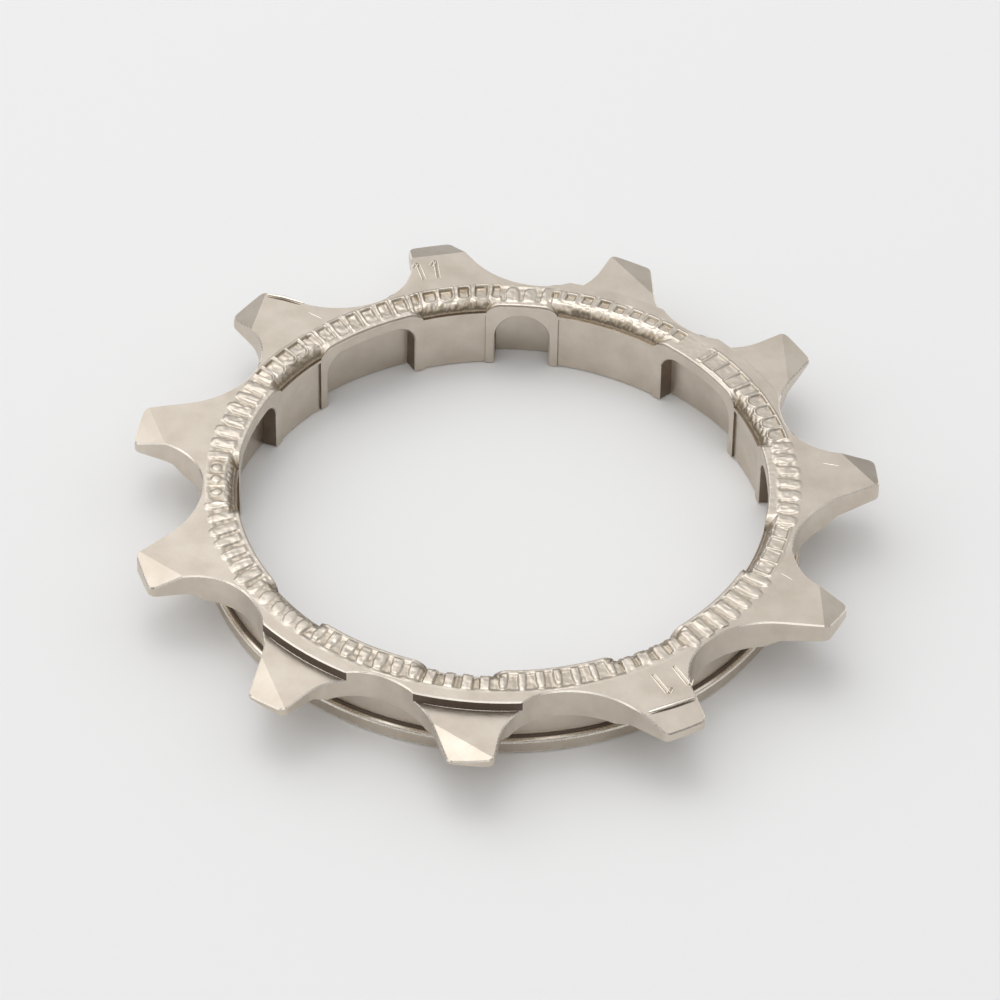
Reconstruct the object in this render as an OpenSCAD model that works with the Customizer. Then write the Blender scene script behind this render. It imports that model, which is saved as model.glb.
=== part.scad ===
// Cassette cog: one forged steel piece with eleven teeth, a splined bore, a collar
// under the toothed plate that spaces the next cog, and a serrated ring on top.
// Axis of the bore on Z, seat of the collar on z = 0, tooth 1 on +Y.
// Teeth are counted clockwise as seen from above.

/* [Chain] */
// Number of teeth
teeth = 11; // [11:1:13]
// Chain pitch, pin to pin
chain_pitch = 12.7; // [12.6:0.01:12.8]
// Diameter of the chain roller
roller_d = 7.75; // [7.6:0.01:7.9]

/* [Tooth form] */
// Height of a tooth over the root circle
tooth_h = 4.84; // [4.2:0.02:5.2]
// Radius of the roller seat on its clockwise side
seat_near_r = 4.03; // [3.9:0.01:4.6]
// Radius of the roller seat on its counter-clockwise side
seat_far_r = 5.72; // [5:0.01:6.4]
// Steep flank, measured from the middle line of the gap
flank_near = 19.1; // [15:0.1:24]
// Sloping flank, measured from the middle line of the gap
flank_far = 41.9; // [38:0.1:45]
// Turn of the seats toward the steep flanks
seat_turn = 1.45; // [0:0.05:2]
// Rounding of the tip corners
tip_round = 0.5; // [0.3:0.05:0.6]

/* [Heights] */
// Seat of the collar to the top face
total_h = 5.04; // [4.8:0.02:5.4]
// Thickness of the toothed plate
plate_t = 2.14; // [1.9:0.02:2.3]
// Rise of the underside at the foot of the tips
under_step = 0.5; // [0.3:0.05:0.6]
// Further rise of the underside out to the tips
under_slope = 0.42; // [0.2:0.02:0.5]

/* [Shift ramps] */
// Full teeth with a bevel straight across the tip
straight_teeth = [1, 6];
// Lowered teeth, bevelled on the clockwise corner
low_teeth = [2, 3, 7, 8];
// Depth of the lowered faces
low_drop = 0.68; // [0.4:0.02:0.9]
// Foot of a lowered tooth that stays at full height, outside the root circle
low_foot = 0.68; // [0.5:0.02:1.1]
// Bevel angle on the full teeth
bevel_deg = 21; // [12:1:26]
// Bevel angle on the lowered teeth
low_bevel_deg = 12.5; // [8:0.5:18]

/* [Collar] */
// Wall between the slot floors and the neck under the plate
neck_wall = 0.75; // [0.65:0.05:0.95]
// Reach of the flange past the neck
flange_lip = 0.45; // [0.3:0.05:0.9]
// Thickness of the flange
flange_t = 1.1; // [0.8:0.05:1.4]
// Broken edge of the flange
flange_edge = 0.15; // [0.1:0.01:0.25]

/* [Spline bore] */
// Radius of the narrow rims along the slots
rim_r = 16.57; // [16.4:0.01:16.65]
// Step from the rims back to the land faces between them
land_step = 0.13; // [0.09:0.01:0.2]
// Depth of a slot behind the rims
slot_depth = 0.98; // [0.8:0.01:1.1]
// Width of a slot
slot_w = 6.45; // [6.2:0.05:6.7]
// Top of the slots over the seat
slot_top = 4.04; // [3.7:0.02:4.2]
// Corner radius at the top of a slot
slot_round = 1.3; // [1:0.05:1.6]
// Width of the rim beside a slot
rim_w = 0.6; // [0.4:0.05:0.8]
// Width of the narrow keying slot
key_w = 3.5; // [3.2:0.05:3.8]
// Depth of the keying slot behind the rims
key_depth = 1.28; // [1.1:0.01:1.3]
// Turn of the keying slot from its even place
key_turn = 4.6; // [4:0.1:5]
// Width of the bevel over the lands
land_bevel_w = 0.5; // [0.3:0.05:0.7]
// Height of the bevel over the lands
land_bevel_h = 0.7; // [0.4:0.05:0.9]

/* [Serrated ring] */
// Number of pockets round the ring
pockets = 100; // [80:4:100]
// Depth of a pocket
pocket_d = 0.24; // [0.15:0.01:0.3]
// Share of the ring that is pocket
pocket_share = 0.66; // [0.5:0.01:0.75]
// Reach of the pockets past the slot floors
pocket_reach = 0.6; // [0.4:0.05:0.75]
// Extra reach of the pockets where the ring is broad
broad_reach = 0.35; // [0.1:0.05:0.4]
// Lip left between the pockets and the edge of the bore
pocket_lip = 0.3; // [0.2:0.05:0.4]
// Middles of the broad stretches of the ring, in degrees
broad_at = [155, 90, -10, -47, -165];
// Half the length of a broad stretch, in degrees
broad_half = 9; // [4:1:12]

/* [Finish] */
// Colour of the nickel plate
nickel = [0.78, 0.74, 0.68];

/* [Hidden] */
$fn = 96;
eps = 1;
overlap = 0.2;
tooth_step = 360 / teeth;
pocket_step = 360 / pockets;
pitch_r = chain_pitch / (2 * sin(180 / teeth));
root_r = pitch_r - roller_d / 2;
tip_r = root_r + tooth_h;
plate_z = total_h - plate_t;
low_wall_r = root_r + low_foot;
land_r = rim_r + land_step;
land_bevel_r = land_r + land_bevel_w;
slot_r = rim_r + slot_depth;
key_r = rim_r + key_depth;
neck_r = slot_r + neck_wall;
flange_r = neck_r + flange_lip;
pocket_out = slot_r + pocket_reach;
// Places round the bore for spline slots, and the one that holds the keying slot
slots = 9;
key_place = 1;
first_slot = 30;
slot_step = 360 / slots;
// Ridge of a corner bevel: a point on the flank and one on the tip, from the tooth's middle
ridge_flank = [-1.75, tip_r - 2.15];
ridge_tip = [1.0, tip_r - 0.38];
low_ridge_flank = [2.0, tip_r - 2.6];
low_ridge_tip = [-1.6, tip_r - 0.3];
straight_ridge_y = tip_r - 1.7;

// Bearing of tooth n, with tooth 1 on +Y
function tooth_at(n) = 90 - tooth_step * (n - 1);
function is_one_of(n, list) = len([for (k = list) if (k == n) k]) > 0;

// Bearing of a spline slot, the keying slot being turned from its even place
function slot_at(i) = first_slot + slot_step * i + (i == key_place ? key_turn : 0);
function slot_width(i) = i == key_place ? key_w : slot_w;
function slot_floor(i) = i == key_place ? key_r : slot_r;
function slot_corner(i) = i == key_place ? key_w / 2 - 0.05 : slot_round;

// Smallest angle between two bearings
function apart(a, b) = abs(((a - b) % 360 + 540) % 360 - 180);

// Half the angle that a slot and its rims take at the bore
function slot_half(i) = asin((slot_width(i) / 2 + rim_w) / rim_r);
function over_slot(a) =
    len([for (i = [0 : slots - 1]) if (apart(a, slot_at(i)) < slot_half(i)) i]) > 0;
function is_broad(a) = len([for (b = broad_at) if (apart(a, b) < broad_half) b]) > 0;

// Half of a tooth gap on the positive side of its middle line: a round seat of radius r
// that touches the root circle, run out along a straight flank
module half_gap(r, flank) {
    centre = [0, root_r + r];
    touch = centre + r * [cos(flank), -sin(flank)];
    reach = touch + 2 * tooth_h * [sin(flank), cos(flank)];
    intersection() {
        translate(centre) circle(r);
        translate([0, root_r - eps]) square([r + eps, r + 2 * eps]);
    }
    polygon([centre, touch, reach, [0, reach[1]]]);
}

// Whole tooth gap, its middle line on +Y
module gap() {
    half_gap(seat_near_r, flank_near);
    mirror([1, 0]) half_gap(seat_far_r, flank_far);
}

// Corner between a flank and the tip circle, cut back to a round. The gap is on the
// far side of the flank.
module tip_corner(r, flank) {
    foot = [0, root_r + r] + r * [cos(flank), -sin(flank)];
    along = [sin(flank), cos(flank)];
    into = [cos(flank), -sin(flank)];
    start = foot + tip_round * into;
    half_b = start * along;
    rest = start * start - pow(tip_r - tip_round, 2);
    middle = start + (-half_b + sqrt(half_b * half_b - rest)) * along;
    outward = middle / norm(middle);
    far = tip_round + 0.6;
    difference() {
        polygon([
            middle,
            middle - far * into,
            middle + far * (outward - into) / (1 - outward * into),
            middle + far * outward
        ]);
        translate(middle) circle(tip_round);
    }
}

// Outline of the toothed plate
module outline() {
    difference() {
        circle(tip_r, $fn = 360);
        for (n = [1 : teeth])
            rotate(tooth_at(n) - 90 + tooth_step / 2 - seat_turn) {
                gap();
                tip_corner(seat_near_r, flank_near);
                mirror([1, 0]) tip_corner(seat_far_r, flank_far);
            }
    }
}

// Ring cut away under the tips, so that they end thin
module under_relief() {
    foot_r = root_r + 1.5;
    top_r = foot_r + 0.75;
    rotate_extrude($fn = 180)
        polygon([
            [foot_r, plate_z],
            [top_r, plate_z + under_step],
            [tip_r + eps, plate_z + under_step + under_slope],
            [tip_r + eps, plate_z - eps],
            [foot_r, plate_z - eps]
        ]);
}

// Wedge over a bevel whose ridge runs from point a to point b on a face at height z.
// The bevel falls away on the left of that line.
module bevel(a, b, z, angle) {
    run = b - a;
    translate([a[0], a[1], z])
        rotate([0, 0, atan2(run[1], run[0])])
            rotate([-angle, 0, 0])
                translate([-tooth_h, -overlap, 0])
                    cube([norm(run) + 2 * tooth_h, 2 * tooth_h, tooth_h]);
}

// Everything taken off the top of tooth n, in the tooth's own frame with the tip on +Y
module tooth_top_cut(n) {
    if (is_one_of(n, low_teeth)) {
        low_z = total_h - low_drop;
        translate([0, 0, low_z])
            linear_extrude(low_drop + eps)
                difference() {
                    translate([-tooth_h, root_r]) square(2 * tooth_h);
                    circle(low_wall_r, $fn = 180);
                }
        bevel(low_ridge_tip, low_ridge_flank, low_z, low_bevel_deg);
    } else if (is_one_of(n, straight_teeth)) {
        bevel([-root_r / 6, straight_ridge_y], [root_r / 6, straight_ridge_y], total_h, bevel_deg);
    } else {
        bevel(ridge_flank, ridge_tip, total_h, bevel_deg);
    }
}

// Toothed plate with its shift ramps
module plate() {
    difference() {
        translate([0, 0, plate_z]) linear_extrude(plate_t) outline();
        under_relief();
        for (n = [1 : teeth]) rotate([0, 0, tooth_at(n) - 90]) tooth_top_cut(n);
    }
}

// Neck and flange that space this cog from the next
module collar() {
    rotate_extrude($fn = 180)
        polygon([
            [rim_r - 2, 0],
            [flange_r - flange_edge, 0],
            [flange_r, flange_edge],
            [flange_r, flange_t - flange_edge],
            [flange_r - flange_edge, flange_t],
            [neck_r, flange_t],
            [neck_r, plate_z + plate_t / 4],
            [rim_r - 2, plate_z + plate_t / 4]
        ]);
}

// Prism along +X with a flat top and round shoulders, w wide and h high
module arch(w, h, r) {
    translate([rim_r - 3, 0, 0])
        rotate([90, 0, 90])
            linear_extrude(5) {
                translate([-w / 2, -eps]) square([w, h + eps - r]);
                translate([-w / 2 + r, -eps]) square([w - 2 * r, h + eps]);
                for (side = [-1, 1]) translate([side * (w / 2 - r), h - r]) circle(r);
            }
}

// The rims stand along every slot and over its arch
module rims() {
    for (i = [0 : slots - 1])
        rotate([0, 0, slot_at(i)]) arch(slot_width(i) + 2 * rim_w, total_h + 0.02, 1);
}

// Slots for the splines, open at the seat and closed at the top
module spline_slots() {
    for (i = [0 : slots - 1])
        rotate([0, 0, slot_at(i)])
            intersection() {
                translate([0, 0, -eps]) rotate([0, 0, 180])
                    cylinder(r = slot_floor(i), h = total_h, $fn = 180);
                arch(slot_width(i), slot_top, slot_corner(i));
            }
}

// Round middle of the bore, through the whole height
module core() {
    translate([0, 0, -eps]) cylinder(r = rim_r, h = total_h + 2 * eps, $fn = 180);
}

// The lands lie back between the rims and are bevelled at the top
module land_relief() {
    difference() {
        union() {
            translate([0, 0, -eps]) cylinder(r = land_r, h = total_h, $fn = 180);
            translate([0, 0, total_h - land_bevel_h])
                cylinder(r1 = land_r, r2 = land_bevel_r, h = land_bevel_h, $fn = 180);
        }
        rims();
    }
}

// One pocket of the serrated ring at bearing a
module pocket(a) {
    w = 2 * PI * pocket_out / pockets * pocket_share;
    inner = over_slot(a) ? rim_r + pocket_lip : land_bevel_r + pocket_lip / 3;
    outer = pocket_out + (is_broad(a) ? broad_reach : 0);
    rotate([0, 0, a])
        translate([inner, -w / 2, total_h - pocket_d])
            cube([outer - inner, w, pocket_d + eps]);
}

module serrations() {
    for (k = [0 : pockets - 1]) pocket(k * pocket_step);
}

module cog() {
    color(nickel)
        difference() {
            difference() {
                union() {
                    plate();
                    collar();
                }
                core();
                land_relief();
                spline_slots();
            }
            serrations();
        }
}

cog();
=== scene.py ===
"""Cassette cog in nickel-plated forged steel, lying on a pale table.

The forged body is a copy of the CAD node with its machined edges broken and its marks cut
in. The serrated ring round the bore is laid over it as a finely shaped shell. Pieces are
modelled in millimetres and brought to metres when they are dressed.
"""

import logging
import math
from dataclasses import dataclass, field
from enum import Enum
from typing import Callable, Sequence

import bmesh
import bpy
import numpy as np
from mathutils import Matrix, Vector


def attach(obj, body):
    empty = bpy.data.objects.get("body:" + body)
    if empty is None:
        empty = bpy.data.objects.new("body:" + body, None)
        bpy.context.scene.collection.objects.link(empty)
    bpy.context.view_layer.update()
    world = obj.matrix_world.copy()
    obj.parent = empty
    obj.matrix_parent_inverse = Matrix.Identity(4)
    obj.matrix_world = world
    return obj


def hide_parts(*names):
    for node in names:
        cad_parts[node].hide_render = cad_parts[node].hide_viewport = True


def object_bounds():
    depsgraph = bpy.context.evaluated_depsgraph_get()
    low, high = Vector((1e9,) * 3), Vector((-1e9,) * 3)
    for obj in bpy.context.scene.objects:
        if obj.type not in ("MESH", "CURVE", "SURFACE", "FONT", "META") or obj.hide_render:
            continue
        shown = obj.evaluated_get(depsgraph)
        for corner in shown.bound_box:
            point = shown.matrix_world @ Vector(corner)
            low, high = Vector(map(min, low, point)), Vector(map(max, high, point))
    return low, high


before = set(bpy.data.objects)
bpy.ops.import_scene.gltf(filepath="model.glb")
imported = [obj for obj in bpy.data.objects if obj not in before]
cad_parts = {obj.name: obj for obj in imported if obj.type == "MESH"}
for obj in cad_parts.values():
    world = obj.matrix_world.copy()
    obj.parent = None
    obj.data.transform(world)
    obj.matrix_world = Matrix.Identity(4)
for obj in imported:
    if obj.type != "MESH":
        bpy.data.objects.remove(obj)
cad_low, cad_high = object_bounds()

MM = 0.001
TOP = round(float(cad_high[2]) / MM, 2)
TEETH = 11
TOOTH_STEP = 360.0 / TEETH
SLOTS = 9
SLOT_STEP = 360.0 / SLOTS
KEY_PLACE = 1
MEET = 1e-5
MIX_SHARE, MIX_UNDER, MIX_OVER, MIX_RESULT = 0, 6, 7, 2

log = logging.getLogger("cassette_cog")

Point = tuple[float, float]
Span = tuple[float, float]
Place = tuple[float, float, float]
Colour = tuple[float, float, float, float]
Piece = bpy.types.Object
Material = bpy.types.Material
Tree = bpy.types.NodeTree
Socket = bpy.types.NodeSocket


# Helpers


def linear(hex_colour: str) -> Colour:
    """Turn an sRGB colour into linear light.

    Args:
        hex_colour: Six hex digits with a leading hash.

    Returns:
        Red, green, blue and an alpha of 1.
    """
    parts = [int(hex_colour[i : i + 2], 16) / 255 for i in (1, 3, 5)]
    low = [p / 12.92 if p <= 0.04045 else ((p + 0.055) / 1.055) ** 2.4 for p in parts]
    return (low[0], low[1], low[2], 1.0)


def add_node(
    tree: Tree,
    kind: str,
    settings: dict | None = None,
    links: dict | None = None,
) -> bpy.types.Node:
    """Add one shader node with its settings and links.

    Args:
        tree: Node tree that takes the node.
        kind: Name of the node type.
        settings: Attribute names, or input socket names or numbers, with their values.
        links: Input socket names or numbers, with the output socket that feeds each.

    Returns:
        The new node.
    """
    made = tree.nodes.new(kind)
    for key, value in (settings or {}).items():
        if isinstance(key, str) and hasattr(made, key):
            setattr(made, key, value)
        else:
            made.inputs[key].default_value = value
    for key, source in (links or {}).items():
        tree.links.new(source, made.inputs[key])
    return made


def bearing_of(tooth: int) -> float:
    """Bearing of a tooth in degrees, tooth 1 being on +Y and the count clockwise."""
    return 90.0 - TOOTH_STEP * (tooth - 1)


def on_tooth(tooth: int, across: float, out: float) -> Point:
    """Turn a place on a tooth into the shared frame.

    Args:
        tooth: Number of the tooth.
        across: Millimetres clockwise from the tooth's middle line.
        out: Millimetres outward from the axis along that line.

    Returns:
        X and Y in millimetres.
    """
    a = math.radians(bearing_of(tooth))
    return (
        out * math.cos(a) + across * math.sin(a),
        out * math.sin(a) - across * math.cos(a),
    )


def direction(bearing: float, height: float) -> Vector:
    """Unit vector toward a bearing and an elevation, both in degrees."""
    a, e = math.radians(bearing), math.radians(height)
    return Vector((math.cos(a) * math.cos(e), math.sin(a) * math.cos(e), math.sin(e)))


def deselect_all() -> None:
    """Leave nothing selected, in object mode."""
    if bpy.context.object and bpy.context.object.mode != "OBJECT":
        bpy.ops.object.mode_set(mode="OBJECT")
    bpy.ops.object.select_all(action="DESELECT")


def make_active(obj: Piece) -> None:
    """Select one object alone and make it the active one."""
    deselect_all()
    obj.select_set(True)
    bpy.context.view_layer.objects.active = obj


def apply_modifier(obj: Piece, kind: str, **settings: object) -> None:
    """Add a modifier to an object and apply it.

    Args:
        obj: Object to finish.
        kind: Name of the modifier type.
        **settings: The modifier's own values.
    """
    make_active(obj)
    made = obj.modifiers.new(kind.title(), kind)
    for key, value in settings.items():
        setattr(made, key, value)
    bpy.ops.object.modifier_apply(modifier=made.name)


def settle(obj: Piece) -> None:
    """Move an object's place, turn and scale into its mesh."""
    make_active(obj)
    bpy.ops.object.transform_apply(location=True, rotation=True, scale=True)


def to_metres(obj: Piece) -> None:
    """Bring a piece modelled in millimetres to the frame's metres."""
    obj.scale = (MM, MM, MM)
    settle(obj)


def shade_round(obj: Piece) -> None:
    """Shade every face of an object smooth."""
    make_active(obj)
    bpy.ops.object.shade_smooth()


def close_skin(obj: Piece) -> None:
    """Merge the points of an object that meet, and turn its faces outward."""
    make_active(obj)
    bpy.ops.object.mode_set(mode="EDIT")
    bpy.ops.mesh.select_all(action="SELECT")
    bpy.ops.mesh.remove_doubles(threshold=MEET)
    bpy.ops.mesh.normals_make_consistent(inside=False)
    bpy.ops.object.mode_set(mode="OBJECT")


def carve(obj: Piece, cutter: Piece) -> None:
    """Cut one closed object out of another and remove the cutter."""
    settings = {"object": cutter, "operation": "DIFFERENCE", "solver": "MANIFOLD"}
    apply_modifier(obj, "BOOLEAN", **settings)
    bpy.data.objects.remove(cutter)


def wrapped_grid(name: str, places: np.ndarray) -> Piece:
    """Make a skin from a grid primitive whose points are laid on given places.

    Points that meet, as where a ring or a tube closes on itself, are merged, and faces
    are turned outward.

    Args:
        name: Name of the piece.
        places: Rows by columns by three, in millimetres.

    Returns:
        The new object, at the origin.
    """
    rows, columns = places.shape[:2]
    deselect_all()
    bpy.ops.mesh.primitive_grid_add(
        x_subdivisions=columns - 1, y_subdivisions=rows - 1, size=1.0
    )
    obj = bpy.context.object
    obj.name = obj.data.name = name
    obj.data.vertices.foreach_set("co", places.ravel())
    obj.data.update()
    close_skin(obj)
    return obj


def smooth(x: np.ndarray | float, low: float, high: float) -> np.ndarray:
    """Rise smoothly from 0 at low to 1 at high."""
    t = np.clip((np.asarray(x, float) - low) / (high - low), 0.0, 1.0)
    return t * t * (3 - 2 * t)


# Finishes


def start_material(name: str) -> tuple[Material, Tree]:
    """Make a material whose node tree is still empty."""
    made = bpy.data.materials.new(name)
    made.use_nodes = True
    made.node_tree.nodes.clear()
    return made, made.node_tree


def add_surface(tree: Tree, settings: dict, links: dict) -> None:
    """Add the shader of a finish, with its settings and links, and the output."""
    shader = add_node(tree, "ShaderNodeBsdfPrincipled", settings, links)
    add_node(tree, "ShaderNodeOutputMaterial", links={"Surface": shader.outputs["BSDF"]})


def mottle(
    tree: Tree, place: Socket, size_mm: float, detail: float, roughness: float
) -> Socket:
    """Add a random pattern that runs through a finish.

    Args:
        tree: Node tree of the finish.
        place: The place on the piece.
        size_mm: Size of one patch in millimetres.
        detail: Number of finer layers over the patches.
        roughness: Strength of the finer layers.

    Returns:
        The output socket.
    """
    return add_node(
        tree,
        "ShaderNodeTexNoise",
        {"Scale": 1 / (size_mm * MM), "Detail": detail, "Roughness": roughness},
        {"Vector": place},
    ).outputs["Fac"]


def remap(
    tree: Tree, value: Socket, span: Span, result: Span, course: str = "LINEAR"
) -> Socket:
    """Turn a value into another between two ends.

    Args:
        tree: Node tree that takes the node.
        value: The value.
        span: Values at its two ends.
        result: What they turn into.
        course: Name of the course between the ends.

    Returns:
        The output socket.
    """
    settings = {
        "interpolation_type": course,
        "From Min": span[0],
        "From Max": span[1],
        "To Min": result[0],
        "To Max": result[1],
    }
    return add_node(tree, "ShaderNodeMapRange", settings, {"Value": value}).outputs["Result"]


def mix_colours(
    tree: Tree, share: Socket, under: Colour | Socket, over: Colour
) -> Socket:
    """Lay one colour over another.

    Args:
        tree: Node tree of the finish.
        share: Share of the upper colour.
        under: The lower colour.
        over: The upper colour.

    Returns:
        The output socket.
    """
    settings = {"data_type": "RGBA", MIX_OVER: over}
    links = {MIX_SHARE: share}
    if isinstance(under, Socket):
        links[MIX_UNDER] = under
    else:
        settings[MIX_UNDER] = under
    return add_node(tree, "ShaderNodeMix", settings, links).outputs[MIX_RESULT]


def bump(
    tree: Tree, height: Socket, depth_mm: float, normal: Socket | None = None
) -> Socket:
    """Make a surface uneven by a pattern.

    Args:
        tree: Node tree of the finish.
        height: The pattern.
        depth_mm: Its full height in millimetres.
        normal: A surface that is uneven already.

    Returns:
        The output socket.
    """
    links = {"Height": height}
    if normal is not None:
        links["Normal"] = normal
    settings = {"Strength": 1.0, "Distance": depth_mm * MM}
    return add_node(tree, "ShaderNodeBump", settings, links).outputs["Normal"]


@dataclass(frozen=True)
class NickelPlate:
    """Satin nickel plate over tumbled, forged steel.

    It gives a warm grey metal with a soft sheen. The tumbling leaves a fine grain that
    blurs reflections, and the plate lies a little paler and darker in patches.

    Attributes:
        name: Name of the material.
        pale: Colour of the plate where it is thick.
        deep: Colour of the plate where it is thin.
        roughness: Middle value of the sheen.
        sheen_spread: How far the sheen wanders from it.
        patch_mm: Size of the paler and darker patches.
        grain_mm: Size of the tumbled grain.
        grain_depth_mm: Height of the tumbled grain.
        wave_mm: Size of the forging's unevenness.
        wave_depth_mm: Height of that unevenness.
    """

    name: str
    pale: str = "#D9CFC2"
    deep: str = "#CCC1B3"
    roughness: float = 0.34
    sheen_spread: float = 0.10
    patch_mm: float = 2.4
    grain_mm: float = 0.16
    grain_depth_mm: float = 0.0035
    wave_mm: float = 1.5
    wave_depth_mm: float = 0.012

    def build(self, tint: str | None = None) -> Material:
        """Make the material.

        Args:
            tint: Colour that the mesh attribute "scale" lays on: brown scale and painted shade on
                the ring's shoulder, painted shade in its hollows.

        Returns:
            The new material.
        """
        made, tree = start_material(self.name)
        place = add_node(tree, "ShaderNodeTexCoord").outputs["Object"]
        patches = mottle(tree, place, self.patch_mm, detail=4.0, roughness=0.6)
        grain = mottle(tree, place, self.grain_mm, detail=2.0, roughness=0.5)
        wave = mottle(tree, place, self.wave_mm, detail=2.0, roughness=0.45)
        thickness = remap(tree, patches, (0.35, 0.65), (0.0, 1.0))
        colour = mix_colours(tree, thickness, linear(self.deep), linear(self.pale))
        # The tint paints shade in the ring's hollows, and brown scale with painted shade on its
        # shoulder
        if tint:
            scale = add_node(tree, "ShaderNodeAttribute", {"attribute_name": "scale"})
            colour = mix_colours(tree, scale.outputs["Fac"], colour, linear(tint))
        half = self.sheen_spread / 2
        sheen = remap(
            tree, grain, (0.3, 0.7), (self.roughness - half, self.roughness + half)
        )
        waved = bump(tree, wave, self.wave_depth_mm)
        grained = bump(tree, grain, self.grain_depth_mm, waved)
        add_surface(
            tree,
            {"Metallic": 1.0},
            {"Base Color": colour, "Roughness": sheen, "Normal": grained},
        )
        return made


@dataclass(frozen=True)
class BrownScaleAndShade:
    """Dull dark brown laid as painted shade in creases, and on the step walls as oxide and
    painted shade together.

    It gives a dull dark brown that swallows the light, a little uneven.

    Attributes:
        name: Name of the material.
        dark: Its darker colour.
        light: Its lighter colour.
        roughness: Its dullness.
        patch_mm: Size of its patches.
    """

    name: str
    dark: str = "#53453A"
    light: str = "#6B5B4B"
    roughness: float = 0.6
    patch_mm: float = 0.4

    def build(self) -> Material:
        """Make the material.

        Returns:
            The new material.
        """
        made, tree = start_material(self.name)
        place = add_node(tree, "ShaderNodeTexCoord").outputs["Object"]
        patches = mottle(tree, place, self.patch_mm, detail=3.0, roughness=0.6)
        colour = mix_colours(tree, patches, linear(self.dark), linear(self.light))
        add_surface(tree, {"Roughness": self.roughness}, {"Base Color": colour})
        return made


@dataclass(frozen=True)
class MattePaper:
    """Seamless photographer's paper.

    It gives a matt, near white ground without a sheen.

    Attributes:
        name: Name of the material.
        colour: Its colour.
        roughness: Its dullness.
        gloss: Strength of what shine is left.
    """

    name: str = "matt_paper"
    colour: str = "#F4F4F4"
    roughness: float = 0.9
    gloss: float = 0.1

    def build(self) -> Material:
        """Make the material.

        Returns:
            The new material.
        """
        made, tree = start_material(self.name)
        settings = {
            "Base Color": linear(self.colour),
            "Roughness": self.roughness,
            "Specular IOR Level": self.gloss,
        }
        add_surface(tree, settings, {})
        return made


# Forged body


class Finish(Enum):
    """Finishes of the forged body, in the order of its material slots."""

    PLATE = 0
    # Dark brown on the step walls: oxide and painted shade together
    SCALE = 1
    # Paler, glossier plate on the broken edges: a painted highlight
    BURNISHED = 2
    # Dark plate on the sides and ceilings of the slots: painted shade
    STAINED = 3


@dataclass(frozen=True)
class Groove:
    """A straight groove with a V section, cut into the top face of a tooth.

    Attributes:
        tooth: Tooth it lies on.
        start: Across and out on that tooth, in millimetres.
        end: The same for its other end.
        width: Width at the surface.
    """

    tooth: int
    start: Point
    end: Point
    width: float = 0.2


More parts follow.
